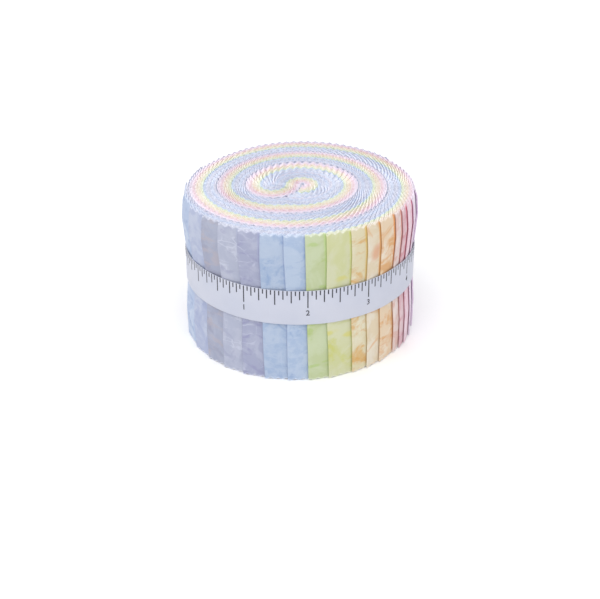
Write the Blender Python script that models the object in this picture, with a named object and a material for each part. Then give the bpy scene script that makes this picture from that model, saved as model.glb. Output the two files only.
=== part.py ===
"""A roll of twenty folded cotton strips, held wound by a measuring tape.

The strips lie on each other as one stack, which is turned back on itself at the middle of the
roll and then wound round that turn-back. Their folded ends come out one after another round the
outside, as shallow steps. Angles are in degrees, anticlockwise from +X as seen from above, and the
roll stands on its flat end, with the origin under its middle.
"""

import math

import bpy

# Driving dimensions, in metres
STRIP_WIDTH = 0.0635
STRIP_COUNT = 20
STACK = 0.0117
TURN_GAP = 0.0006
TURN_BACK_AT = (-0.01111, 0.00049)
TAIL_STARTS = -84.0
TAIL_FAN = 34.0
CORE_LOOP = 0.0018
FRONT_STRETCH = 1.2
TAPE_BOTTOM = 0.0253
TAPE_WIDTH = 0.0147
TAPE_THICKNESS = 0.001
TAPE_GAP = 0.00035
TAPE_LAP = (76.0, 96.0)
TAPE_LAP_RISE = 0.0004
FOLD_BULGE = 0.0002
THINNEST = 0.0012

# How far each front half turn is drawn in or let out at its inner and outer face. The back half
# turns are round.
FRONT_SET = {
    # half turn: (inner face, outer face)
    1: (-0.0020, -0.0010),
    3: (-0.0010, 0.0001),
    5: (0.0001, 0.0008),
}

# The roll is a little fuller on its front right, where its turns are looser, and flatter at the back.
FULLNESSES = (
    # direction, outwards at the outside, how narrow
    (-58.0, 0.0012, 4),
    (138.0, -0.0020, 12),
    (42.0, -0.0008, 8),
)
OUTER_RADIUS = 0.047

# Where the fold of each strip shows round the outside, from the outermost strip inwards
FOLD_ANGLES = (
    38.0, -6.0, -16.0, -23.8, -29.5, -35.5, -46.4, -55.0, -63.8, -76.5,
    -86.4, -96.2, -107.9, -118.7, -130.0, -141.4, -154.0, -168.0, -182.0, -203.0,
)

# How far the outside stands out or is drawn in, at each height of the outer face
SIDE_PROFILE = (
    # height, outwards
    (0.0, 0.0001),
    (0.0130, 0.0002),
    (0.0240, -0.0010),
    (0.0412, -0.0010),
    (0.0530, 0.0005),
    (0.0600, 0.0001),
    (0.0627, -0.0006),
)
PROFILE_FADE = 6

# The rounded rows of cut edges across one thickness of the stack, as shares of it, and their height
TOP_ROWS = (
    # share of the stack from the outside, below the top
    (0.07, 0.0),
    (0.28, 0.0004),
    (0.50, 0.0),
    (0.72, 0.0004),
    (0.93, 0.0),
)
INNER_ROWS = (0.0627, 0.0320, 0.0)

HALF_TURN_STEPS = (18, 20, 24, 28, 34, 36, 36)
TAIL_STEPS = 24
TURN_BACK_STEPS = 14
TAPE_STEPS = 120


def fold_height(strip):
    """Thickness of what is left of the stack once this many strips have ended."""
    return STACK * (1 - strip / STRIP_COUNT)


def half_turn_centre(half):
    """Even half turns pass the back, odd ones the front, and their centres lie half a stack apart."""
    shift = 1.0 if half % 2 == 0 else 0.5
    return TURN_BACK_AT[0] + shift * STACK, TURN_BACK_AT[1]


def half_turn_radius(half):
    """Radius of the stack's inner face on this half turn."""
    return STACK * (1 + half / 2)


class Section:
    """One cut across the stack. A subclass says how depth in the stack maps to a plan position."""

    def __init__(self, centre, angle):
        self.centre = centre
        self.angle = angle

    def radii(self, depth):
        """Half the width and half the breadth of the oval on which this depth lies here."""
        return depth, depth * FRONT_STRETCH

    def angle_at(self, depth):
        """Angle about the centre, which most sections share at every depth."""
        return self.angle

    def point(self, depth):
        """Plan position at this depth, measured from the stack's inner face."""
        across, along = self.radii(depth)
        angle = math.radians(self.angle_at(depth))
        x = self.centre[0] + across * math.cos(angle)
        y = self.centre[1] + along * math.sin(angle)
        return filled_out(x, y)


class HalfTurnSection(Section):
    """A cut through one of the half turns outside the turn-back."""

    def __init__(self, half, angle):
        super().__init__(half_turn_centre(half), angle)
        self.radius = half_turn_radius(half)
        self.front_set = FRONT_SET.get(half, (0.0, 0.0))

    def radii(self, depth):
        reach = self.radius + depth
        inner, outer = self.front_set
        return reach, reach + inner + (outer - inner) * depth / STACK


class TailSection(Section):
    """A cut through the tail inside the turn-back, where the stack's outer face lies innermost."""

    def __init__(self, share):
        super().__init__(half_turn_centre(0), 0.0)
        self.share = share

    def angle_at(self, depth):
        start = TAIL_STARTS - TAIL_FAN * (1 - depth / STACK)
        return start + (180.0 - start) * self.share

    def radii(self, depth):
        reach = STACK - depth
        loop = CORE_LOOP * depth / STACK
        angle = math.radians(self.angle_at(depth))
        across = reach + (loop if math.cos(angle) > 0 else 0.0)
        along = reach * (FRONT_STRETCH if math.sin(angle) < 0 else 1.0) + loop
        return across, along


def filled_out(x, y):
    """Moves a plan position outwards where the roll is fuller and inwards where it is flatter."""
    polar = math.atan2(y, x)
    outwards = 0.0
    for direction, amount, narrow in FULLNESSES:
        outwards += amount * (0.5 + 0.5 * math.cos(polar - math.radians(direction))) ** narrow
    grown = 1 + outwards * (x * x + y * y) / OUTER_RADIUS**3
    return x * grown, y * grown


def wound_angle(polar):
    """How far the stack is wound, in degrees, where the outermost turn passes a polar angle."""
    outer_turns = {4: (0.0, 180.0), 5: (-180.0, 0.0), 6: (-360.0, -180.0)}
    half = next(h for h, (low, high) in outer_turns.items() if low <= polar <= high)
    centre = half_turn_centre(half)
    x = OUTER_RADIUS * math.cos(math.radians(polar)) - centre[0]
    y = OUTER_RADIUS * math.sin(math.radians(polar)) - centre[1]
    about_centre = math.degrees(math.atan2(y, x))
    start = 180.0 if half % 2 == 0 else 0.0
    return 180.0 * half + (start - about_centre) % 360.0


FOLDS_AT = tuple(wound_angle(angle) for angle in FOLD_ANGLES)


def half_turn_section(wound):
    """The section where the stack has been wound this far past its turn-back."""
    half = min(int(wound // 180.0), 6)
    start = 180.0 if half % 2 == 0 else 0.0
    angle = start - (wound - 180.0 * half)
    return HalfTurnSection(half, angle)


def outer_depth(wound):
    """Depth of the stack's outer face, which steps down past each fold."""
    covered = wound < FOLDS_AT[-1] - 360.0
    if covered:
        return STACK - TURN_GAP / 2
    ended = sum(1 for fold in FOLDS_AT if wound > fold - 1e-6)
    return max(fold_height(ended), THINNEST)


def stack_sections():
    """Every section in order, from the tail at the middle to the last fold, with its outer depth."""
    covered_depth = STACK - TURN_GAP / 2
    sections = []
    for step in range(TAIL_STEPS):
        sections.append((TailSection(step / TAIL_STEPS), covered_depth))
    for step in range(TURN_BACK_STEPS):
        angle = -180.0 * step / TURN_BACK_STEPS
        sections.append((Section(TURN_BACK_AT, angle), covered_depth))
    for wound, depth in wound_stations():
        sections.append((half_turn_section(wound), depth))
    return sections


def wound_stations():
    """Winding angles along the half turns, with three at each fold for its rounded step."""
    stations = []
    for half, steps in enumerate(HALF_TURN_STEPS):
        stations += [180.0 * (half + step / steps) for step in range(steps)]
    folds = []
    for strip, fold in enumerate(FOLDS_AT):
        before = max(fold_height(strip), THINNEST)
        after = max(fold_height(strip + 1), THINNEST)
        folds.append((fold - 1.3, before))
        folds.append((fold - 0.5, before + FOLD_BULGE))
        if strip + 1 < STRIP_COUNT:
            folds.append((fold, after))
    clear = 0.9
    kept = [
        (wound, outer_depth(wound))
        for wound in stations
        if wound < FOLDS_AT[-1] and all(abs(wound - near) > clear for near, _ in folds)
    ]
    return sorted(kept + folds)


def profile_shift(height):
    """How far the side stands out at a height, read between the rows of the profile."""
    for (low, first), (high, second) in zip(SIDE_PROFILE, SIDE_PROFILE[1:]):
        if height <= high:
            share = (height - low) / (high - low)
            return first + (second - first) * share
    return SIDE_PROFILE[-1][1]


def shaped(section, depth, height):
    """World position in the stack, with the outer turns following the side's profile."""
    x, y = section.point(depth)
    radius = math.hypot(x, y)
    fade = min(radius / OUTER_RADIUS, 1.0) ** PROFILE_FADE
    grown = 1 + profile_shift(height) * fade / max(radius, STACK)
    return x * grown, y * grown, height


def section_ring(section, outer):
    """Corner points of one cut through the stack: up its outer face, over the top, down inside."""
    inner = TURN_GAP / 2
    ring = [shaped(section, outer, height) for height, _ in SIDE_PROFILE]
    for share, below in TOP_ROWS:
        depth = outer - (outer - inner) * share
        ring.append(shaped(section, depth, STRIP_WIDTH - below))
    ring += [shaped(section, inner, height) for height in INNER_ROWS]
    return ring


def lofted(name, rings, closed):
    """A closed skin over a row of rings that have the same number of points."""
    count = len(rings[0])
    points = [point for ring in rings for point in ring]
    spans = len(rings) if closed else len(rings) - 1
    faces = []
    for row in range(spans):
        this = row * count
        after = (row + 1) % len(rings) * count
        for column in range(count):
            beside = (column + 1) % count
            faces.append((this + column, after + column, after + beside, this + beside))
    if not closed:
        faces.append(tuple(range(count)))
        faces.append(tuple(reversed(range(len(points) - count, len(points)))))
    mesh = bpy.data.meshes.new(name)
    mesh.from_pydata(points, [], faces)
    mesh.validate()
    return mesh


def roll_mesh():
    """The wound stack, as one body with a spiral gap between its turns."""
    rings = [section_ring(section, outer) for section, outer in stack_sections()]
    return lofted("strip_roll", rings, closed=False)


def outside_radii(steps):
    """Greatest radius of the roll near each of these directions, at the height of the tape."""
    middle = TAPE_BOTTOM + TAPE_WIDTH / 2
    outline = []
    for section, outer in stack_sections():
        x, y, _ = shaped(section, outer, middle)
        outline.append((math.degrees(math.atan2(y, x)), math.hypot(x, y)))
    window = 6.0
    radii = []
    for step in range(steps):
        direction = 360.0 * step / steps
        near = [r for angle, r in outline if abs((angle - direction + 180) % 360 - 180) < window]
        radii.append(max(near))
    return radii


def smoothed(values, passes):
    """Evens out a ring of values, never going below any of them."""
    even = list(values)
    for _ in range(passes):
        count = len(even)
        mean = [(even[i - 1] + even[i] + even[(i + 1) % count]) / 3 for i in range(count)]
        even = [max(value, now) for value, now in zip(values, mean)]
    return even


def tape_mesh():
    """The tape, drawn round the roll a little clear of it, thicker where its ends lap at the back."""
    inner = [radius + TAPE_GAP for radius in smoothed(outside_radii(TAPE_STEPS), 4)]
    rings = []
    for step, radius in enumerate(inner):
        angle = 360.0 * step / TAPE_STEPS
        lapped = TAPE_LAP[0] <= angle <= TAPE_LAP[1]
        outer = radius + TAPE_THICKNESS + (TAPE_LAP_RISE if lapped else 0.0)
        cosine, sine = math.cos(math.radians(angle)), math.sin(math.radians(angle))
        corners = (
            (outer, TAPE_BOTTOM),
            (outer, TAPE_BOTTOM + TAPE_WIDTH),
            (radius, TAPE_BOTTOM + TAPE_WIDTH),
            (radius, TAPE_BOTTOM),
        )
        rings.append([(reach * cosine, reach * sine, height) for reach, height in corners])
    return lofted("measuring_tape", rings, closed=True)


def outward(mesh):
    """Turns a closed mesh's faces outwards if they point in."""
    volume = 0.0
    for face in mesh.polygons:
        corners = [mesh.vertices[index].co for index in face.vertices]
        for second, third in zip(corners[1:], corners[2:]):
            volume += corners[0].dot(second.cross(third))
    if volume < 0:
        mesh.flip_normals()


def cloth_material(name, colour, roughness):
    """A plain finish for one sub-part."""
    material = bpy.data.materials.new(name)
    material.use_nodes = True
    shader = material.node_tree.nodes["Principled BSDF"]
    shader.inputs["Base Color"].default_value = (*colour, 1.0)
    shader.inputs["Roughness"].default_value = roughness
    shader.inputs["Metallic"].default_value = 0.0
    return material


def add_part(collection, name, mesh, material):
    """Places one sub-part in the collection, with its finish."""
    outward(mesh)
    mesh.materials.append(material)
    mesh.shade_smooth()
    mesh.set_sharp_from_angle(angle=math.radians(35.0))
    part = bpy.data.objects.new(name, mesh)
    collection.objects.link(part)
    return part


def main():
    """Clears the scene and makes the roll and its tape."""
    for old in list(bpy.data.objects):
        bpy.data.objects.remove(old)
    collection = bpy.data.collections.new("strip roll")
    bpy.context.scene.collection.children.link(collection)
    cotton = cloth_material("printed_cotton", (0.72, 0.74, 0.78), 0.9)
    satin = cloth_material("tape_weave", (0.86, 0.86, 0.92), 0.6)
    add_part(collection, "strip_roll", roll_mesh(), cotton)
    add_part(collection, "measuring_tape", tape_mesh(), satin)


main()
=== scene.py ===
"""Dresses a roll of twenty folded cotton strips that a measuring tape holds wound.

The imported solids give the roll's frame. Each strip is a sheet of its own here, folded in half, with
pinked edges, lying in the wound stack at its true depth and arc length. Lengths are in metres and
angles in degrees, anticlockwise from +X as seen from above.
"""

import logging
import math
from dataclasses import dataclass
from enum import Enum

import bpy
import numpy as np
from mathutils import Matrix, Vector


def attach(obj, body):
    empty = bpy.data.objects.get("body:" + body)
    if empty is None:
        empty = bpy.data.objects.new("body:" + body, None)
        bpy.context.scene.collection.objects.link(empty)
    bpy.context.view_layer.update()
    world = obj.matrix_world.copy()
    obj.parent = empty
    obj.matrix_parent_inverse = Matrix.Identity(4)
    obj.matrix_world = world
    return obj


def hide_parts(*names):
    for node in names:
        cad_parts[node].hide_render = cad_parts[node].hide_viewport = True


LOG = logging.getLogger("strip_roll")
MM = 0.001
CLOTH_UV = "cloth"
TO_EDGE = "to_edge"
ROOT = "root"

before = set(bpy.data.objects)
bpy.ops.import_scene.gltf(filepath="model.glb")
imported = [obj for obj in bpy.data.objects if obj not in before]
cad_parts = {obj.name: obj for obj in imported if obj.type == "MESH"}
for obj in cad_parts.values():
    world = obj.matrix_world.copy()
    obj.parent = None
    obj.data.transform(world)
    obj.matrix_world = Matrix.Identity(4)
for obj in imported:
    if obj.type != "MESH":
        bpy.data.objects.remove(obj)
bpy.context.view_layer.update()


class Motif(Enum):
    """The kinds of figure that are printed over a cloth's mottled ground."""

    NONE = "none"
    DOTS = "dots"
    LEAVES = "leaves"
    STROKES = "strokes"
    VEINS = "veins"


@dataclass(frozen=True)
class Print:
    """One cloth's print: a ground that shades between colours, and a motif over it."""

    name: str
    ground: tuple[float, float, float]
    pale: tuple[float, float, float]
    deep: tuple[float, float, float]
    motif: Motif = Motif.NONE
    ink: tuple[float, float, float] = (255, 255, 255)
    motif_size: float = 0.006
    mottle_size: float = 0.009
    strength: float = 0.7
    # crease: share of painted shade in the crease under the next strip's fold.
    crease: float = 0.1
    # Share of pale cut edge inside the roll: real fraying, partly painted light on the top face.
    fray: float = 0.95
    edge_white: float = 0.64


PRINTS: tuple[Print, ...] = (
    Print("gray_spots", (174, 179, 202), (194, 199, 215), (136, 140, 170),
          Motif.DOTS, (104, 108, 140), 0.003, fray=0.15),
    Print("lilac", (222, 206, 224), (230, 218, 232), (206, 184, 212),
          Motif.LEAVES, (232, 222, 236), crease=0.3, edge_white=0.6),
    Print("pale_lilac", (228, 212, 229), (234, 224, 236), (214, 190, 213),
          Motif.LEAVES, (236, 228, 240), crease=0.8, edge_white=0.6),
    Print("rose", (230, 198, 210), (236, 216, 226), (216, 168, 188),
          Motif.STROKES, (236, 218, 228), crease=0.9, edge_white=0.6),
    Print("coral_leaf", (215, 178, 187), (224, 200, 205), (204, 150, 161),
          Motif.LEAVES, (206, 150, 158), crease=0.9, edge_white=0.6),
    Print("blush_spots", (224, 204, 200), (230, 216, 212), (218, 178, 168),
          Motif.DOTS, (216, 176, 164), 0.005, crease=0.9, edge_white=0.6),
    Print("apricot_spots", (228, 206, 178), (234, 222, 204), (220, 168, 112),
          Motif.STROKES, (218, 166, 110), 0.016, 0.015, 0.85, crease=0.9, edge_white=0.65),
    Print("cream_orange", (222, 207, 180), (228, 219, 202), (219, 174, 128),
          Motif.DOTS, (219, 164, 130), 0.014, 0.012, 0.8, crease=0.9, edge_white=0.65),
    Print("cream_amber", (219, 210, 178), (225, 219, 196), (214, 172, 108),
          Motif.STROKES, (213, 166, 98), 0.014, 0.015, 0.8, crease=0.7, edge_white=0.7),
    Print("lemon", (203, 206, 158), (209, 211, 178), (198, 200, 104),
          Motif.LEAVES, (209, 204, 120), 0.008, 0.018, 0.75, crease=0.35, edge_white=0.75),
    Print("leaf_green", (189, 200, 157), (197, 207, 173), (168, 190, 110),
          Motif.LEAVES, (174, 196, 126), 0.006, 0.016, crease=0.25, edge_white=0.7),
    Print("sky", (167, 185, 213), (181, 196, 218), (148, 170, 204), Motif.STROKES, (186, 199, 220), 0.004),
    Print("sky_gray", (163, 181, 209), (178, 192, 214), (143, 165, 201), Motif.STROKES, (182, 195, 216), 0.004),
    Print("periwinkle", (164, 168, 193), (176, 180, 201), (144, 144, 181), Motif.VEINS, (191, 195, 214), 0.007),
    Print("mist", (175, 180, 200), (184, 188, 206), (161, 164, 190), Motif.VEINS, (200, 204, 220), 0.006),
    Print("stone", (164, 169, 190), (172, 177, 196), (154, 156, 178), Motif.STROKES, (180, 174, 184), 0.008),
    Print("haze_blue", (176, 184, 210), (190, 197, 217), (158, 168, 202), Motif.LEAVES, (192, 200, 220)),
    Print("blue_spots", (180, 194, 221), (196, 207, 227), (154, 172, 206), Motif.DOTS, (150, 166, 200), 0.003),
    Print("lavender_blue", (176, 185, 212), (192, 199, 221), (152, 163, 201), Motif.STROKES, (198, 204, 226)),
    Print("lilac_gray", (186, 185, 204), (200, 199, 216), (164, 163, 190), Motif.LEAVES, (206, 207, 222)),
)


@dataclass(frozen=True)
class Winding:
    """How the stack of folded strips lies in the roll, with the same sizes as its solid.

    A place in the stack is a path value and a depth. The path runs 0 to 1 along the tail, 1 to 2
    round the turn-back and then one for each half turn. Depth is counted from the inner face.
    """

    strip_width: float = 0.0635
    strip_count: int = 20
    stack: float = 0.0117
    turn_back_at: tuple[float, float] = (-0.01111, 0.00049)
    tail_starts: float = -84.0
    tail_fan: float = 34.0
    core_loop: float = 0.0004
    front_stretch: float = 1.2
    outer_radius: float = 0.047
    fullnesses: tuple[tuple[float, float, int], ...] = (
        (-58.0, 0.0012, 4), (138.0, -0.0020, 12), (42.0, -0.0008, 8),
    )
    front_set: tuple[tuple[float, float], ...] = ((-0.0020, -0.0010), (-0.0010, 0.0001), (0.0001, 0.0008))
    front_dips: tuple[tuple[float, float, int], ...] = ((0.0022, 11.0, 2), (0.00055, 24.0, 4))
    fold_angles: tuple[float, ...] = (
        38.0, -6.0, -16.0, -23.8, -29.5, -35.5, -46.4, -55.0, -63.8, -76.5,
        -86.4, -96.2, -107.9, -118.7, -130.0, -141.4, -154.0, -168.0, -182.0, -203.0,
    )
    side_heights: tuple[float, ...] = (0.0, 0.0130, 0.0250, 0.0326, 0.0402, 0.0530, 0.0600, 0.0635)
    side_outwards: tuple[float, ...] = (0.0001, 0.0003, -0.0005, -0.0006, -0.0005, 0.0005, 0.0001, -0.0008)
    side_fade: float = 6.0

    @property
    def ply(self) -> float:
        """Thickness that one folded strip takes up in the stack."""
        return self.stack / self.strip_count

    def half_turn_centre(self, half: np.ndarray) -> tuple[np.ndarray, float]:
        """Centre of a half turn: even ones pass the back, odd ones the front."""
        shift = np.where(half % 2 == 0, 1.0, 0.5)
        return self.turn_back_at[0] + shift * self.stack, self.turn_back_at[1]

    def plan(self, path: np.ndarray, depth: np.ndarray) -> np.ndarray:
        """Plan positions of places in the stack.

        Args:
            path: Path values.
            depth: Depths from the stack's inner face, of the same length.

        Returns:
            One row of x and y for each place.
        """
        path, depth = np.broadcast_arrays(np.asarray(path, float), np.asarray(depth, float))
        tail, turn_back = path < 1, (path >= 1) & (path < 2)
        wound = np.maximum(path - 2, 0)
        half = np.floor(wound).astype(int)
        start = self.tail_starts - self.tail_fan * (1 - depth / self.stack)
        angle = np.where(half % 2 == 0, 180.0, 0.0) - 180.0 * (wound - half)
        angle = np.where(turn_back, -180.0 * (path - 1), angle)
        angle = np.radians(np.where(tail, start + (180.0 - start) * path, angle))
        inner_set, outer_set = np.zeros(path.shape), np.zeros(path.shape)
        for index, (inner, outer) in enumerate(self.front_set):
            front = half == 2 * index + 1
            inner_set[front], outer_set[front] = inner, outer
        reach = self.stack * (1 + half / 2) + depth
        along = reach + inner_set + (outer_set - inner_set) * depth / self.stack
        for amount, half_width, squareness in self.front_dips:
            near_ends = np.exp(-(((angle + math.pi / 2) / math.radians(half_width)) ** squareness))
            along = along - np.where(half == 1, amount * near_ends * (1 - depth / self.stack), 0.0)
        across = np.where(turn_back, depth, reach)
        along = np.where(turn_back, depth * self.front_stretch, along)
        reach = self.stack - depth
        loop = self.core_loop * depth / self.stack
        across = np.where(tail, reach + np.where(np.cos(angle) > 0, loop, 0.0), across)
        stretch = np.where(np.sin(angle) < 0, self.front_stretch, 1.0)
        along = np.where(tail, reach * stretch + loop, along)
        middle, level = self.half_turn_centre(np.where(tail, 0, half))
        middle = np.where(turn_back, self.turn_back_at[0], middle)
        return self.filled_out(middle + across * np.cos(angle), level + along * np.sin(angle))

    def filled_out(self, x: np.ndarray, y: np.ndarray) -> np.ndarray:
        """Moves plan positions outwards where the roll is fuller and inwards where it is flatter."""
        polar = np.arctan2(y, x)
        outwards = sum(
            amount * (0.5 + 0.5 * np.cos(polar - math.radians(direction))) ** narrow
            for direction, amount, narrow in self.fullnesses
        )
        grown = 1 + outwards * (x * x + y * y) / self.outer_radius**3
        return np.stack([x * grown, y * grown], axis=-1)

    def fold_path(self, strip: int) -> float:
        """Path value at which a strip's fold lies, strip 0 being the outermost."""
        polar = self.fold_angles[strip]
        outer_turns = {4: (0.0, 180.0), 5: (-180.0, 0.0), 6: (-360.0, -180.0)}
        half = next(h for h, (low, high) in outer_turns.items() if low <= polar <= high)
        middle, level = self.half_turn_centre(np.array(half))
        x = self.outer_radius * math.cos(math.radians(polar)) - float(middle)
        y = self.outer_radius * math.sin(math.radians(polar)) - level
        start = 180.0 if half % 2 == 0 else 0.0
        return 2 + half + (start - math.degrees(math.atan2(y, x))) % 360.0 / 180.0

    def end_path(self, depth: float) -> float:
        """Path value of the loose end at a depth, where it butts against the turned-back stack."""
        path = np.linspace(-0.2, 0.4, 1201)
        place = self.plan(path, np.full(path.shape, depth))
        reach = self.stack + 0.05 * MM
        x = (place[:, 0] - self.turn_back_at[0]) / reach
        y = (place[:, 1] - self.turn_back_at[1]) / (reach * self.front_stretch)
        inside = np.nonzero(x * x + y * y < 1)[0]
        return float(path[inside[-1] + 1]) if len(inside) else float(path[0])

    def outwards(self, plan: np.ndarray, height: np.ndarray) -> np.ndarray:
        """Moves plan positions by the side's profile and the roll's slight unevenness.

        Args:
            plan: Rows of x and y.
            height: Height of each row above the surface.

        Returns:
            Rows of x, y and height.
        """
        radius = np.hypot(plan[:, 0], plan[:, 1])
        polar = np.arctan2(plan[:, 1], plan[:, 0])
        fade = np.minimum(radius / self.outer_radius, 1.02) ** self.side_fade
        shift = np.interp(height, self.side_heights, self.side_outwards)
        level = height / self.strip_width
        free = np.abs(level - 0.51) * 2
        wave = 0.5 * np.sin(3 * polar + 1.1 + 2.2 * level) + 0.3 * np.sin(7 * polar + 4.0 - 3.1 * level)
        grown = 1 + (shift + 0.25 * MM * free * wave) * fade / np.maximum(radius, self.stack)
        return np.column_stack([plan[:, 0] * grown, plan[:, 1] * grown, height])


@dataclass
class Ply:
    """One layer of a folded strip, with lengths counted along its own middle."""

    winding: Winding
    outer: float
    cloth: float
    start: float
    end: float
    tooth: float
    phase: float
    wander: float = 0.09
    wander_length: float = 0.035
    bend_step: float = 0.05

    def __post_init__(self) -> None:
        """Measures the layer along its path, and a little past the fold."""
        self.path = np.linspace(self.start, self.end + 0.04, 9000)
        line = self.winding.plan(self.path, self.outer - self.cloth / 2)
        steps = np.linalg.norm(np.diff(line, axis=0), axis=1)
        self.along = np.concatenate([[0.0], np.cumsum(steps)])
        self.length = self.length_at(self.end)
        self.flush = self.length_at(0.0)
        self.stations = self.placed()

    def length_at(self, path: float) -> float:
        """Length from the loose end at a path value."""
        return float(np.interp(path, self.path, self.along))

    def path_at(self, lengths: np.ndarray) -> np.ndarray:
        """Path values at these lengths."""
        return np.interp(lengths, self.along, self.path)

    def placed(self) -> np.ndarray:
        """Lengths of the points along the layer: every tip and notch, every bend and the fold."""
        first = math.ceil(-self.flush / self.tooth * 2)
        last = math.floor((self.length - self.flush) / self.tooth * 2)
        teeth = self.flush + np.arange(first, last + 1) * self.tooth / 2
        teeth = teeth - self.drift(teeth) * self.tooth
        teeth = teeth[(teeth > 0.1 * MM) & (teeth < self.length - 0.2 * MM)]
        bends = [self.length_at(path) for path in np.arange(self.start, 2.0, self.bend_step)]
        near_fold = self.length - np.array([0.0, 0.3, 0.9, 1.8, 3.0, 4.5]) * MM
        free = [s for s in [*bends, *near_fold] if np.abs(teeth - s).min() > 0.12 * MM]
        return np.unique(np.concatenate([teeth, free, [0.0]]))

    def drift(self, lengths: np.ndarray) -> np.ndarray:
        """Share of a tooth by which the teeth run out of step at these lengths."""
        return self.phase + self.wander * np.sin(lengths / self.wander_length + 60.0 * self.phase)

    def notch(self, offset: float) -> np.ndarray:
        """Share of the tooth depth that the cut edge is drawn in at each station, 0 at a tip."""
        turns = (self.stations - self.flush) / self.tooth + self.drift(self.stations) + offset
        return 1 - np.abs(1 - 2 * (turns % 1.0))


@dataclass
class FoldedStrip:
    """One strip, folded in half and wound with the others, as a closed thin sheet."""

    winding: Winding
    index: int
    cloth: float = 0.00023
    slit: float = 0.00003
    tooth_pitch: float = 0.0032
    tooth_depth: float = 0.0008
    pressed_tooth_depth: float = 0.0006
    phase_step: float = 0.15
    outermost_phase: float = 0.45
    lean: float = 1.4
    lean_reach: float = 0.020
    lifts: tuple[float, float] = (0.00034, 0.00014)
    lift_reach: float = 0.0018
    rows: tuple[float, ...] = (0.0022, 0.0130, 0.0235, 0.0262, 0.0390, 0.0415, 0.0530, 0.0608)
    pressed: tuple[float, float] = (0.0250, 0.0402)

    def __post_init__(self) -> None:
        """Sets the strip's own small differences and measures its two layers."""
        random = np.random.default_rng(100 + self.index)
        self.raised = float(random.uniform(0.0, 0.30)) * MM
        steps = np.random.default_rng(7).uniform(-self.phase_step, self.phase_step, self.winding.strip_count)
        phase = float(steps[: self.index].sum()) if self.index else self.outermost_phase
        self.bow = float(random.uniform(-0.25, 0.25)) * MM
        top = self.winding.stack - self.winding.ply * self.index - self.slit
        start = self.winding.end_path(top - self.cloth)
        end = self.winding.fold_path(self.index)
        tooth = self.tooth_pitch
        self.outer = Ply(self.winding, top, self.cloth, start, end, tooth, phase)
        self.inner = Ply(self.winding, top - self.cloth - self.slit, self.cloth, start, end, tooth, phase)
        self.length = self.outer.length + self.inner.length

    @property
    def name(self) -> str:
        """Name of the strip's piece, counted from the outside of the stack."""
        return f"strip_{self.index + 1:02d}_{PRINTS[self.index].name}"

    @property
    def crease(self) -> float:
        """Length on the outer layer at which the next strip's fold lies over this one."""
        if self.index == 0:
            return -1.0
        return self.outer.length_at(self.winding.fold_path(self.index - 1))

    def fold_shift(self, height: float) -> float:
        """How much further round the fold lies at a height, as it leans and bows."""
        level = height / self.winding.strip_width - 0.5
        leaned = math.tan(math.radians(self.lean)) * level * self.winding.strip_width
        return leaned + self.bow * math.cos(math.tau * level)

    def layer_runs(self, ply: Ply, lift: float, height: float) -> tuple[np.ndarray, np.ndarray, float, float]:
        """Plan positions of one layer's two faces at a height.

        Args:
            ply: The layer.
            lift: How far it stands proud at its fold.
            height: Height of the row.

        Returns:
            The outer and the inner face, the path value at the fold and the outer face's depth there.
        """
        to_fold = np.maximum(ply.length - ply.stations, 0.0)
        path = ply.path_at(ply.stations + self.fold_shift(height) * np.exp(-to_fold / self.lean_reach))
        free = 0.25 if self.pressed[0] <= height <= self.pressed[1] else 1.0
        raised = ply.outer + lift * free * np.exp(-to_fold / self.lift_reach)
        outer = self.winding.plan(path, raised)
        inner = self.winding.plan(path, raised - self.cloth)
        return outer, inner, float(path[-1]), float(raised[-1])

    def ring(self, height: float) -> np.ndarray:
        """Plan positions round the folded strip at a height: outer face, fold, inner face, slit."""
        outer, outer_back, end, top = self.layer_runs(self.outer, self.lifts[0], height)
        inner_back, inner, _, back = self.layer_runs(self.inner, self.lifts[1], height)
        radius = (top - back + self.cloth) / 2
        turn = np.radians(np.array([58.0, 20.0, -20.0, -58.0]))
        forward = radius * np.cos(turn) / self.winding.outer_radius / math.pi
        fold = self.winding.plan(end + forward, top - radius + radius * np.sin(turn))
        slit_end = (outer_back[-1:] + inner_back[-1:]) / 2
        return np.concatenate([outer, fold, inner[::-1], inner_back, slit_end, outer_back[::-1]])

    def along_cloth(self) -> np.ndarray:
        """Length along the unfolded cloth at each point of the ring."""
        first, second = self.outer.stations, self.length - self.inner.stations
        middle = self.outer.length
        fold = middle + np.array([-0.3, -0.1, 0.1, 0.3]) * MM
        return np.concatenate([first, fold, second[::-1], second, [middle], first[::-1]])

    def notches(self, offset: float) -> np.ndarray:
        """Share of the tooth depth at each point of the ring."""
        first, second = self.outer.notch(offset), self.inner.notch(offset)
        fold = np.full(4, first[-1])
        return np.concatenate([first, fold, second[::-1], second, [first[-1]], first[::-1]])

    def build(self) -> bpy.types.Object:
        """Makes the strip's mesh, with its cloth coordinates and its distance to the cut edges.

        Returns:
            The new piece.
        """
        width = self.winding.strip_width
        cloth = self.along_cloth()
        around = len(cloth)
        top = width - self.tooth_depth * self.notches(0.0)
        bottom = self.pressed_tooth_depth * self.notches(0.5)
        heights = [bottom, *[np.full(around, row) for row in self.rows], top]
        levels = [0.0, *self.rows, width]
        rings = [self.winding.outwards(self.ring(level), height) for level, height in zip(levels, heights)]
        points = np.concatenate(rings)
        points[:, 2] *= 1 + self.raised / width
        flat = np.concatenate([np.column_stack([cloth, height]) for height in heights])
        to_edge = np.concatenate([np.minimum(height - bottom, top - height) for height in heights])
        mesh = bpy.data.meshes.new(self.name)
        mesh.from_pydata(points.tolist(), [], self.faces(around, len(heights)))
        add_cloth_uv(mesh, flat)
        mesh.attributes.new(TO_EDGE, "FLOAT", "POINT").data.foreach_set("value", to_edge)
        return finished(self.name, mesh)

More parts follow.
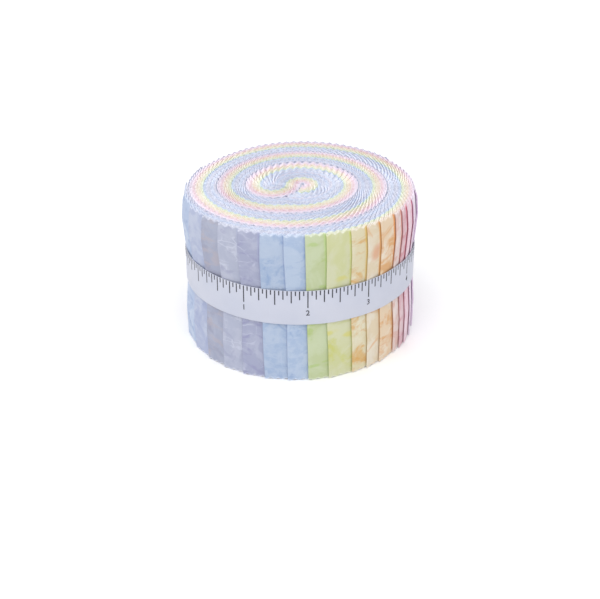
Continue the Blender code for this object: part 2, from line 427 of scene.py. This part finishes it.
    def faces(self, around: int, levels: int) -> list[tuple[int, ...]]:
        """Faces of the strip: its sides, row by row, and its lower and upper cut edges.

        Args:
            around: Number of points in a ring.
            levels: Number of rings.

        Returns:
            Corner numbers of each face.
        """
        ring = np.arange(around)
        after = (ring + 1) % around
        sides = []
        for level in range(levels - 1):
            low, high = level * around, (level + 1) * around
            sides += np.stack([low + ring, low + after, high + after, high + ring], axis=1).tolist()
        lower = self.cut_edge()
        raised = (levels - 1) * around
        upper = [[corner + raised for corner in reversed(face)] for face in lower]
        return [tuple(face) for face in sides + lower + upper]

    def cut_edge(self) -> list[list[int]]:
        """Faces that close a cut edge, between the two faces of each layer and round the fold."""
        first, second = len(self.outer.stations), len(self.inner.stations)
        inner = first + 4
        inner_back = inner + second
        slit = inner_back + second
        back = slit + 1
        faces = []
        for step in range(first - 1):
            mate = back + first - 1 - step
            faces.append([step, mate, mate - 1, step + 1])
        for step in range(second - 1):
            near = inner + second - 1 - step
            faces.append([near, near - 1, inner_back + step + 1, inner_back + step])
        around_fold = range(inner, first - 2, -1)
        faces.append([slit, inner_back + second - 1, *around_fold, back])
        return faces

    def dress(self, piece: bpy.types.Object, material: bpy.types.Material) -> None:
        piece.data.materials.append(material)
        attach(piece, ROOT)
        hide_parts("strip_roll")


def add_cloth_uv(mesh: bpy.types.Mesh, flat: np.ndarray) -> None:
    """Stores each point's place on the flat cloth as UV coordinates, in metres."""
    layer = mesh.uv_layers.new(name=CLOTH_UV)
    corners = np.empty(len(mesh.loops), np.int32)
    mesh.loops.foreach_get("vertex_index", corners)
    layer.data.foreach_set("uv", flat[corners].ravel())


def finished(name: str, mesh: bpy.types.Mesh) -> bpy.types.Object:
    """Turns a closed mesh outwards, smooths it and links it as a piece."""
    mesh.calc_loop_triangles()
    points = np.empty(len(mesh.vertices) * 3)
    mesh.vertices.foreach_get("co", points)
    corners = np.empty(len(mesh.loop_triangles) * 3, np.int32)
    mesh.loop_triangles.foreach_get("vertices", corners)
    first, second, third = np.swapaxes(points.reshape(-1, 3)[corners.reshape(-1, 3)], 0, 1)
    if (first * np.cross(second, third)).sum() < 0:
        mesh.flip_normals()
    mesh.shade_smooth()
    mesh.set_sharp_from_angle(angle=math.radians(50.0))
    piece = bpy.data.objects.new(name, mesh)
    bpy.context.scene.collection.objects.link(piece)
    return piece


@dataclass
class MeasuringTape:
    """The tape drawn round the roll, with its printed inch marks and plain numbers."""

    winding: Winding
    bottom: float = 0.0253
    width: float = 0.0147
    thickness: float = 0.00025
    clearance: float = 0.00006
    edge_round: float = 0.00006
    lap_from: float = 76.0
    lap: float = 20.0
    step: float = 1.5
    inch: float = 0.0254
    zero_angle: float = -148.0
    ticks: tuple[tuple[int, float], ...] = ((1, 0.0072), (2, 0.0062), (4, 0.0051), (8, 0.0037), (16, 0.0019))
    tick_width: float = 0.00044
    number_height: float = 0.0023
    number_weight: float = 0.00004
    number_gap: float = 0.0011
    ink_proud: float = 0.00004
    ink_sunk: float = 0.00003

    def envelope(self) -> tuple[np.ndarray, np.ndarray]:
        """Angle and radius of the roll's outside under the tape, evened out and never cut into."""
        winding = self.winding
        folds = np.array([winding.fold_path(strip) for strip in range(winding.strip_count)])
        path = np.sort(np.concatenate([np.linspace(folds[-1] - 2, folds[-1], 1500), folds - 1e-6]))
        ended = (path[:, None] > folds[None, :]).sum(axis=1)
        lift = 0.00012 * (np.abs(path[:, None] - folds[None, :]) < 0.02).any(axis=1)
        plan = winding.plan(path, winding.stack - winding.ply * ended + lift)
        reach = np.zeros(len(path))
        for height in (self.bottom, self.bottom + self.width / 2, self.bottom + self.width):
            place = winding.outwards(plan, np.full(len(plan), height))
            reach = np.maximum(reach, np.hypot(place[:, 0], place[:, 1]))
        polar = np.degrees(np.arctan2(plan[:, 1], plan[:, 0]))
        angles = np.arange(0.0, 360.0, self.step)
        away = np.abs((polar[:, None] - angles[None, :] + 180.0) % 360.0 - 180.0)
        radii = np.where(away < 4.0, reach[:, None], 0.0).max(axis=0)
        for _ in range(12):
            mean = (np.roll(radii, 1) + radii + np.roll(radii, -1)) / 3
            radii = np.maximum(radii, mean)
        return angles, radii

    def route(self) -> tuple[np.ndarray, np.ndarray, np.ndarray]:
        """Angle, inner radius and length along the tape, from its under end to its lapped end."""
        angles, radii = self.envelope()
        sweep = np.arange(self.lap_from, self.lap_from + 360.0 + self.lap + 0.1, self.step)
        reach = np.interp(sweep % 360.0, angles, radii, period=360.0) + self.clearance
        climb = np.clip((sweep - self.lap_from - 348.0) / 12.0, 0.0, 1.0)
        reach = reach + (self.thickness + self.clearance) * climb * climb * (3 - 2 * climb)
        middle = reach + self.thickness / 2
        x, y = middle * np.cos(np.radians(sweep)), middle * np.sin(np.radians(sweep))
        along = np.concatenate([[0.0], np.cumsum(np.hypot(np.diff(x), np.diff(y)))])
        return sweep, reach, along

    def section(self) -> tuple[tuple[float, float], ...]:
        """Corners of a cut across the tape: how far out and how high up it each lies."""
        soft, full = self.edge_round, self.thickness
        low, high = soft * 4, self.width - soft * 4
        return (
            (full - soft, 0.0), (full, low), (full, self.width / 2), (full, high), (full - soft, self.width),
            (soft, self.width), (0.0, high), (0.0, self.width / 2), (0.0, low), (soft, 0.0),
        )

    def build(self) -> bpy.types.Object:
        """Makes the tape itself as a closed thin sheet.

        Returns:
            The tape's piece.
        """
        sweep, reach, along = self.route()
        angle = np.radians(sweep)
        section = self.section()
        count = len(section)
        rings, flats = [], []
        for out, up in section:
            radius = reach + out
            height = np.full(len(sweep), self.bottom + up)
            rings.append(np.column_stack([radius * np.cos(angle), radius * np.sin(angle), height]))
            flats.append(np.column_stack([along, np.full(len(sweep), up)]))
        points = np.stack(rings, axis=1).reshape(-1, 3)
        faces = []
        for row in range(len(sweep) - 1):
            low, high = row * count, (row + 1) * count
            for column in range(count):
                beside = (column + 1) % count
                faces.append((low + column, high + column, high + beside, low + beside))
        faces.append(tuple(reversed(range(count))))
        faces.append(tuple(range(len(points) - count, len(points))))
        mesh = bpy.data.meshes.new("measuring_tape_band")
        mesh.from_pydata(points.tolist(), [], faces)
        add_cloth_uv(mesh, np.stack(flats, axis=1).reshape(-1, 2))
        self.length = float(along[-1])
        return finished("measuring_tape_band", mesh)

    def tick_length(self, sixteenths: int) -> float:
        """Length of the tick at this many sixteenths of an inch."""
        return next(length for parts, length in self.ticks if sixteenths % (16 // parts) == 0)

    def marks(self) -> bpy.types.Object:
        """Prints the ticks and numbers flat, then lays them round the tape.

        Returns:
            The piece that holds all the print.
        """
        sweep, reach, along = self.route()
        zero = float(np.interp(self.zero_angle + 360.0, sweep, along))
        first = math.ceil((1.5 * MM - zero) / self.inch * 16)
        last = math.floor((along[-1] - 1.5 * MM - zero) / self.inch * 16)
        ink = self.ink_proud + self.ink_sunk
        deselect_all()
        bpy.ops.mesh.primitive_cube_add(size=1.0)
        piece = bpy.context.object
        piece.name = piece.data.name = "measuring_tape_print"
        piece.data.clear_geometry()
        bpy.ops.object.mode_set(mode="EDIT")
        for sixteenths in range(first, last + 1):
            length = self.tick_length(sixteenths)
            place = (zero + sixteenths * self.inch / 16, self.width - 0.1 * MM - length / 2, self.ink_proud - ink / 2)
            bpy.ops.mesh.primitive_cube_add(size=1.0, location=place, scale=(self.tick_width, length, ink))
        bpy.ops.object.mode_set(mode="OBJECT")
        numbers = [piece]
        for inches in range(math.ceil(first / 16), last // 16 + 1):
            if inches != 0:
                numbers.append(self.number(inches % 12, zero + inches * self.inch, ink))
        deselect_all()
        for part in numbers:
            part.select_set(True)
        bpy.context.view_layer.objects.active = piece
        bpy.ops.object.join()
        self.wrap(piece, sweep, reach, along)
        return piece

    def number(self, value: int, x: float, ink: float) -> bpy.types.Object:
        """One plain number as a flat thin mesh, with its middle at x."""
        deselect_all()
        bpy.ops.object.text_add()
        text = bpy.context.object.data
        text.body = str(value)
        text.align_x = "CENTER"
        text.size = self.number_height / 0.72
        text.offset = self.number_weight
        text.extrude = ink / 2
        text.resolution_u = 3
        bpy.ops.object.convert(target="MESH")
        made = bpy.context.object
        baseline = self.width - self.ticks[0][1] - self.number_gap - self.number_height
        made.data.transform(Matrix.Translation((x, baseline, self.ink_proud - ink / 2)))
        return made

    def wrap(self, piece: bpy.types.Object, sweep: np.ndarray, reach: np.ndarray, along: np.ndarray) -> None:
        """Bends flat print round the tape: x runs along it, y up it and z out of it."""
        mesh = piece.data
        points = np.empty(len(mesh.vertices) * 3)
        mesh.vertices.foreach_get("co", points)
        x, y, z = points.reshape(-1, 3).T
        angle = np.radians(np.interp(x, along, sweep))
        radius = np.interp(x, along, reach) + self.thickness + z
        bent = np.column_stack([radius * np.cos(angle), radius * np.sin(angle), self.bottom + y])
        mesh.vertices.foreach_set("co", bent.ravel())
        mesh.update()

    def dress(self, tape: bpy.types.Object, marks: bpy.types.Object, strips: list[bpy.types.Object]) -> None:
        tape.data.materials.append(tape_material())
        marks.data.materials.clear()
        marks.data.materials.append(ink_material())
        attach(tape, ROOT)
        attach(marks, ROOT)
        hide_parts("measuring_tape")


def deselect_all() -> None:
    """Leaves edit mode and selects nothing."""
    if bpy.context.object and bpy.context.object.mode != "OBJECT":
        bpy.ops.object.mode_set(mode="OBJECT")
    bpy.ops.object.select_all(action="DESELECT")


def linear(rgb: tuple[float, float, float]) -> tuple[float, float, float, float]:
    """Turns a display colour, from 0 to 255, into the linear one that shaders take."""
    parts = [value / 255 for value in rgb]
    return (*[((part + 0.055) / 1.055) ** 2.4 if part > 0.04045 else part / 12.92 for part in parts], 1.0)


class Finish:
    """A material under construction, with short calls for its nodes."""

    def __init__(self, name: str) -> None:
        """Starts a material with only a Principled shader and its output."""
        self.material = bpy.data.materials.new(name)
        self.material.use_nodes = True
        self.nodes = self.material.node_tree.nodes
        self.links = self.material.node_tree.links
        self.shader = self.nodes["Principled BSDF"]

    def add(self, kind: str, **settings: object) -> bpy.types.Node:
        """Adds a node and sets its own properties."""
        node = self.nodes.new(kind)
        for key, value in settings.items():
            setattr(node, key, value)
        return node

    def feed(self, node: bpy.types.Node, socket: object, value: object) -> None:
        """Links or sets one input of a node."""
        target = node.inputs[socket]
        if isinstance(value, bpy.types.NodeSocket):
            self.links.new(value, target)
        else:
            target.default_value = value

    def cloth(self) -> bpy.types.NodeSocket:
        """Coordinates along and across the cloth, in metres."""
        return self.add("ShaderNodeUVMap", uv_map=CLOTH_UV).outputs["UV"]

    def stored(self, name: str) -> bpy.types.NodeSocket:
        """A value that the mesh stores at its points."""
        return self.add("ShaderNodeAttribute", attribute_name=name).outputs["Fac"]

    def mapped(self, vector: object, offset: tuple = (0, 0, 0), turn: float = 0.0, scale: tuple = (1, 1, 1)):
        """Coordinates moved, turned and stretched."""
        node = self.add("ShaderNodeMapping")
        self.feed(node, "Vector", vector)
        self.feed(node, "Location", offset)
        self.feed(node, "Rotation", (0.0, 0.0, math.radians(turn)))
        self.feed(node, "Scale", scale)
        return node.outputs["Vector"]

    def noise(self, vector: object, size: float, detail: float = 3.0, distortion: float = 0.0):
        """Soft random values with patches of this size."""
        node = self.add("ShaderNodeTexNoise")
        self.feed(node, "Vector", vector)
        self.feed(node, "Scale", 1 / size)
        self.feed(node, "Detail", detail)
        self.feed(node, "Roughness", 0.62)
        self.feed(node, "Distortion", distortion)
        return node.outputs["Fac"]

    def stirred(self, vector: object, size: float, amount: float):
        """Coordinates moved about softly, so that outlines on them come out irregular."""
        node = self.add("ShaderNodeTexNoise")
        self.feed(node, "Vector", vector)
        self.feed(node, "Scale", 1 / size)
        self.feed(node, "Detail", 2.0)
        centred = self.add("ShaderNodeVectorMath", operation="SUBTRACT")
        self.feed(centred, 0, node.outputs["Color"])
        self.feed(centred, 1, (0.5, 0.5, 0.5))
        moved = self.add("ShaderNodeVectorMath", operation="MULTIPLY_ADD")
        self.feed(moved, 0, centred.outputs["Vector"])
        self.feed(moved, 1, (amount, amount, 0.0))
        self.feed(moved, 2, vector)
        return moved.outputs["Vector"]

    def ramp(self, value: object, low: float, high: float, start: float = 0.0, end: float = 1.0):
        """Maps one range smoothly onto another."""
        node = self.add("ShaderNodeMapRange", interpolation_type="SMOOTHSTEP")
        self.feed(node, "Value", value)
        for socket, number in zip(("From Min", "From Max", "To Min", "To Max"), (low, high, start, end)):
            self.feed(node, socket, number)
        return node.outputs["Result"]

    def math(self, operation: str, first: object, second: object = 0.0):
        """One arithmetic step."""
        node = self.add("ShaderNodeMath", operation=operation)
        self.feed(node, 0, first)
        self.feed(node, 1, second)
        return node.outputs["Value"]

    def mix(self, share: object, first: object, second: object):
        """Blends two colours."""
        node = self.add("ShaderNodeMix", data_type="RGBA")
        self.feed(node, 0, share)
        self.feed(node, 6, first)
        self.feed(node, 7, second)
        return node.outputs[2]

    def split(self, vector: object) -> tuple:
        """The parts of a vector."""
        node = self.add("ShaderNodeSeparateXYZ")
        self.feed(node, 0, vector)
        return node.outputs["X"], node.outputs["Y"], node.outputs["Z"]

    def cells(self, vector: object, size: float, feature: str = "F1") -> tuple:
        """Distance within scattered cells, and a random colour for each cell."""
        node = self.add("ShaderNodeTexVoronoi", feature=feature)
        self.feed(node, "Vector", vector)
        self.feed(node, "Scale", 1 / size)
        return node.outputs["Distance"], node.outputs.get("Color")

    def weave(self, pitch: float, strength: float) -> None:
        """Adds the over-and-under relief of a plain weave."""
        along, across, _ = self.split(self.cloth())
        warp = self.math("SINE", self.math("MULTIPLY", along, math.tau / pitch))
        weft = self.math("SINE", self.math("MULTIPLY", across, math.tau / pitch))
        crossing = self.math("MULTIPLY", warp, weft)
        bump = self.add("ShaderNodeBump")
        self.feed(bump, "Strength", strength)
        self.feed(bump, "Distance", pitch / 6)
        self.feed(bump, "Height", crossing)
        self.feed(self.shader, "Normal", bump.outputs["Normal"])


@dataclass(frozen=True)
class CottonFinish:
    """Turns a print into a cotton finish: mottled ground, motif, painted crease shade, pale cut edges (partly real
    fraying, partly painted light) and weave.
    """

    thread_pitch: float = 0.00036
    weave_strength: float = 0.12
    roughness: float = 0.88
    sheen: float = 0.08
    fray_reach: float = 0.0023
    wall_fray_reach: float = 0.0008
    wall_fray: float = 0.7
    speckle_size: float = 0.0009
    speckle_least: float = 0.55
    outer_turn: tuple[float, float] = (0.10, 0.16)
    # Brightest channel of the pale edge colour, raised as painted light against the shade in the top face.
    fray_brightest: float = 248.0
    bare_thread: tuple[float, float, float] = (249.0, 250.0, 255.0)
    # Width, brightest channel and deepening power of the painted crease shade.
    crease_reach: float = 0.0010
    crease_brightest: float = 235.0
    crease_depth: float = 4.0

    def motif(self, finish: Finish, cloth: object, design: Print) -> object:
        """Where the motif is printed, from 0 to 1, or None."""
        size = design.motif_size
        cloth = finish.stirred(cloth, size * 0.6, size * 0.35)
        if design.motif is Motif.DOTS:
            distance, colour = finish.cells(finish.mapped(cloth, turn=20.0), size)
            dot = finish.ramp(distance, 0.16, 0.36, 1.0, 0.0)
            chosen = finish.ramp(finish.split(colour)[0], 0.35, 0.45)
            return finish.math("MULTIPLY", dot, chosen)
        if design.motif is Motif.LEAVES:
            shapes = []
            for turn in (35.0, -50.0):
                bent = finish.mapped(cloth, turn=turn, scale=(1.0, 2.6, 1.0))
                distance, colour = finish.cells(bent, size * 1.6)
                leaf = finish.ramp(distance, 0.14, 0.34, 1.0, 0.0)
                chosen = finish.ramp(finish.split(colour)[1], 0.45, 0.55)
                shapes.append(finish.math("MULTIPLY", leaf, chosen))
            return finish.math("MAXIMUM", shapes[0], shapes[1])
        if design.motif is Motif.STROKES:
            bent = finish.mapped(cloth, turn=40.0, scale=(1.0, 2.0, 1.0))
            return finish.ramp(finish.noise(bent, size, 4.0, 0.8), 0.48, 0.64)
        if design.motif is Motif.VEINS:
            bent = finish.mapped(cloth, turn=-35.0, scale=(1.0, 2.2, 1.0))
            edge, _ = finish.cells(bent, size, "DISTANCE_TO_EDGE")
            line = finish.ramp(edge, 0.02, 0.06, 1.0, 0.0)
            patch = finish.ramp(finish.noise(cloth, size * 1.4, 2.0), 0.48, 0.58)
            return finish.math("MULTIPLY", line, patch)
        return None

    def creased(self, finish: Finish, colour: object, design: Print, strip: FoldedStrip) -> object:
        """Paints shade where the next strip's fold lies over this one: a deep, saturated version of the ground that
        stands for the crease's shadow and its coloured bounce light.

        Args:
            finish: The material under construction.
            colour: The colour so far.
            design: The print.
            strip: The strip that wears it.

        Returns:
            The new colour.
        """
        along, across, _ = finish.split(finish.cloth())
        lean = math.tan(math.radians(strip.lean))
        leaned = finish.math("MULTIPLY", finish.math("SUBTRACT", across, strip.winding.strip_width / 2), lean)
        past = finish.math("SUBTRACT", finish.math("SUBTRACT", along, strip.crease), leaned)
        share = finish.ramp(past, 0.0, self.crease_reach, design.crease, 0.0)
        covered = finish.ramp(past, -self.crease_reach, -0.3 * self.crease_reach)
        share = finish.math("MULTIPLY", share, covered)
        brightest = max(design.ground)
        full = [self.crease_brightest * (part / brightest) ** self.crease_depth for part in design.ground]
        return finish.mix(share, colour, linear(tuple(full)))

    def frayed(self, finish: Finish, colour: object, design: Print, strip: FoldedStrip) -> object:
        """Pales the cut edges, widely inside the roll and narrowly where the strip shows on its side. The pale colour
        is partly real fraying and partly painted light that brightens the top edges against the shade between the
        teeth and layers.

        Args:
            finish: The material under construction.
            colour: The colour so far.
            design: The print.
            strip: The strip that wears it.

        Returns:
            The new colour.
        """
        along, _, _ = finish.split(finish.cloth())
        begun = finish.ramp(along, strip.crease - 0.4 * MM, strip.crease)
        ended = finish.ramp(along, strip.outer.length, strip.outer.length + 0.4 * MM, 1.0, 0.0)
        to_edge = finish.stored(TO_EDGE)
        from_fold = finish.math("ABSOLUTE", finish.math("SUBTRACT", along, strip.outer.length))
        most = finish.ramp(from_fold, *self.outer_turn, 0.95, design.fray)
        inside = finish.math("MULTIPLY", finish.ramp(to_edge, 0.0, self.fray_reach, 1.0, 0.0), most)
        outside = finish.ramp(to_edge, 0.0, self.wall_fray_reach, self.wall_fray, 0.0)
        shown = finish.math("MULTIPLY", begun, ended)
        share = finish.math("MULTIPLY", inside, finish.math("SUBTRACT", 1.0, shown))
        share = finish.math("ADD", share, finish.math("MULTIPLY", outside, shown))
        threads = finish.noise(finish.cloth(), self.speckle_size, 1.0)
        share = finish.math("MULTIPLY", share, finish.ramp(threads, 0.40, 0.60, self.speckle_least, 1.0))
        # Painted light: the edge colour is lifted towards full brightness to offset the shade between the teeth and
        # layers.
        painted_light_gain = self.fray_brightest / max(design.ground)
        pale = [part * painted_light_gain * (1 - design.edge_white) + bare * design.edge_white
                for part, bare in zip(design.ground, self.bare_thread)]
        return finish.mix(share, colour, linear(tuple(pale)))

    def made(self, design: Print, strip: FoldedStrip) -> bpy.types.Material:
        """Builds the material.

        Args:
            design: The print.
            strip: The strip that wears it, whose place moves the pattern.

        Returns:
            The finished material.
        """
        finish = Finish(f"cotton_{design.name}")
        seed = strip.index + 1
        cloth = finish.mapped(finish.cloth(), offset=(0.37 * seed, 0.23 * seed, 0.0))
        blot = finish.ramp(finish.noise(cloth, design.mottle_size, 6.0, 0.9), 0.44, 0.60)
        colour = finish.mix(blot, linear(design.ground), linear(design.pale))
        stain = finish.ramp(finish.noise(cloth, design.mottle_size * 1.3, 6.0, 1.6), 0.52, 0.66)
        colour = finish.mix(finish.math("MULTIPLY", stain, design.strength), colour, linear(design.deep))
        printed = self.motif(finish, cloth, design)
        if printed is not None:
            share = finish.math("MULTIPLY", printed, design.strength)
            colour = finish.mix(share, colour, linear(design.ink))
        # Painted shade in the crease under the next strip's fold.
        if strip.crease > 0:
            colour = self.creased(finish, colour, design, strip)
        # Pale cut edges: real fraying, with painted light brightening the top edges.
        colour = self.frayed(finish, colour, design, strip)
        finish.feed(finish.shader, "Base Color", colour)
        finish.feed(finish.shader, "Roughness", self.roughness)
        finish.feed(finish.shader, "Sheen Weight", self.sheen)
        finish.feed(finish.shader, "Specular IOR Level", 0.25)
        finish.weave(self.thread_pitch, self.weave_strength)
        return finish.material


def tape_material() -> bpy.types.Material:
    """Smooth pale tape with a fine weave."""
    finish = Finish("tape_cloth")
    cloth = finish.cloth()
    tone = finish.ramp(finish.noise(cloth, 0.02, 2.0), 0.3, 0.7)
    colour = finish.mix(tone, linear((197, 201, 217)), linear((203, 206, 220)))
    finish.feed(finish.shader, "Base Color", colour)
    finish.feed(finish.shader, "Roughness", 0.55)
    finish.feed(finish.shader, "Sheen Weight", 0.1)
    finish.weave(0.0003, 0.06)
    return finish.material


def ink_material() -> bpy.types.Material:
    """Dark gray print, slightly uneven as ink on cloth is."""
    finish = Finish("tape_ink")
    place = finish.add("ShaderNodeTexCoord").outputs["Object"]
    tone = finish.ramp(finish.noise(place, 0.0006, 2.0), 0.3, 0.7)
    finish.feed(finish.shader, "Base Color", finish.mix(tone, linear((48, 48, 58)), linear((72, 72, 82))))
    finish.feed(finish.shader, "Roughness", 0.7)
    return finish.material


@dataclass(frozen=True)
class Studio:
    """The pale floor, the soft light and the camera at the photograph's angle."""

    camera_at: tuple[float, float, float] = (0.0, -0.4570, 0.2670)
    aimed_at: tuple[float, float, float] = (0.0, 0.0, 0.03175)
    lens: float = 74.1
    shift: tuple[float, float] = (-0.0005, -0.0758)
    floor_size: float = 8.0
    sky: float = 0.64
    sun: float = 1.85
    sun_from: tuple[float, float, float] = (-0.10, -0.32, 0.94)
    sun_spread: float = 60.0

    def camera(self) -> None:
        """Places the camera."""
        data = bpy.data.cameras.new("camera")
        data.lens = self.lens
        data.sensor_width = 36.0
        data.shift_x, data.shift_y = self.shift
        data.clip_start, data.clip_end = 0.01, 50.0
        camera = bpy.data.objects.new("camera", data)
        bpy.context.scene.collection.objects.link(camera)
        camera.location = self.camera_at
        away = Vector(self.aimed_at) - Vector(self.camera_at)
        camera.rotation_mode = "QUATERNION"
        camera.rotation_quaternion = away.to_track_quat("-Z", "Y")
        bpy.context.scene.camera = camera

    def floor(self) -> None:
        """Lays a plain pale floor."""
        deselect_all()
        bpy.ops.mesh.primitive_plane_add(size=self.floor_size)
        floor = bpy.context.object
        floor.name = "floor"
        finish = Finish("floor_white")
        finish.feed(finish.shader, "Base Color", (0.96, 0.96, 0.965, 1.0))
        finish.feed(finish.shader, "Roughness", 1.0)
        finish.feed(finish.shader, "Specular IOR Level", 0.0)
        floor.data.materials.append(finish.material)

    def lights(self) -> None:
        """Sets an even white surround and one wide soft light from the upper left front."""
        world = bpy.data.worlds.new("surround")
        world.use_nodes = True
        background = world.node_tree.nodes["Background"]
        background.inputs["Color"].default_value = (1.0, 1.0, 1.0, 1.0)
        background.inputs["Strength"].default_value = self.sky
        bpy.context.scene.world = world
        data = bpy.data.lights.new("key", "SUN")
        data.energy = self.sun
        data.angle = math.radians(self.sun_spread)
        key = bpy.data.objects.new("key", data)
        bpy.context.scene.collection.objects.link(key)
        key.location = self.sun_from
        key.rotation_mode = "QUATERNION"
        key.rotation_quaternion = (-key.location).to_track_quat("-Z", "Y")

    def build(self) -> None:
        """Sets up the whole studio."""
        self.camera()
        self.floor()
        self.lights()
        bpy.context.scene.view_settings.view_transform = "Standard"


def main() -> None:
    """Builds the studio, the strips and the tape in order."""
    logging.basicConfig(level=logging.INFO, format="%(name)s: %(message)s")
    Studio().build()
    winding = Winding()
    cotton = CottonFinish()
    pieces = []
    for index, design in enumerate(PRINTS):
        strip = FoldedStrip(winding, index)
        piece = strip.build()
        strip.dress(piece, cotton.made(design, strip))
        pieces.append(piece)
        LOG.info("%s: %.3f m of cloth", strip.name, strip.length)
    tape = MeasuringTape(winding)
    band = tape.build()
    tape.dress(band, tape.marks(), pieces)
    LOG.info("tape: %.3f m", tape.length)


if __name__ == "__main__":
    main()
